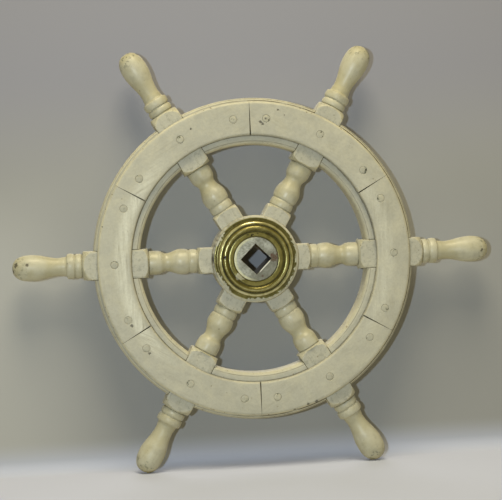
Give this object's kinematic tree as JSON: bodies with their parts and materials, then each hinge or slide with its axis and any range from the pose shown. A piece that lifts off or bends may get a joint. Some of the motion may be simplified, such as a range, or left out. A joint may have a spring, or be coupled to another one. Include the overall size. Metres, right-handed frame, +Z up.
{
  "type": "ship's wheel",
  "caption": "Spoked wooden steering wheel of a small yacht with turned handles, a layered rim, a moulded brass hub plate and a square shaft socket.",
  "frame": {"origin": "on the wheel's axis, on the middle plane of rim and spokes", "axes": "+Y along the axis towards the back, so the front faces -Y; one spoke lies along +X; +Z is up"},
  "size_m": [0.614, 0.0662, 0.5366],
  "materials": {
    "painted_wood": "old cream paint, yellowed in the turned details",
    "plug_wood": "old cream paint over end grain",
    "hub_brass": "tarnished, rubbed bright on the mouldings",
    "bush_metal": "dull grey, worn, with a spot of rust",
    "bolt_brass": "tarnished",
    "screw_brass": "plain"
  },
  "bodies": {
    "root": {"hub_core": "painted_wood", "front_hub_plate": "hub_brass", "rear_hub_plate": "hub_brass", "hub_bush": "bush_metal", "hub_bolts": "bolt_brass", "spoke_1": "painted_wood", "spoke_2": "painted_wood", "spoke_3": "painted_wood", "spoke_4": "painted_wood", "spoke_5": "painted_wood", "spoke_6": "painted_wood", "core_felloe_1": "painted_wood", "core_felloe_2": "painted_wood", "core_felloe_3": "painted_wood", "core_felloe_4": "painted_wood", "core_felloe_5": "painted_wood", "core_felloe_6": "painted_wood", "front_felloe_1": "painted_wood", "front_felloe_2": "painted_wood", "front_felloe_3": "painted_wood", "front_felloe_4": "painted_wood", "front_felloe_5": "painted_wood", "front_felloe_6": "painted_wood", "rear_felloe_1": "painted_wood", "rear_felloe_2": "painted_wood", "rear_felloe_3": "painted_wood", "rear_felloe_4": "painted_wood", "rear_felloe_5": "painted_wood", "rear_felloe_6": "painted_wood", "front_plugs": "plug_wood", "rear_plugs": "plug_wood", "front_screws": "screw_brass", "rear_screws": "screw_brass"}
  },
  "joints": []
}
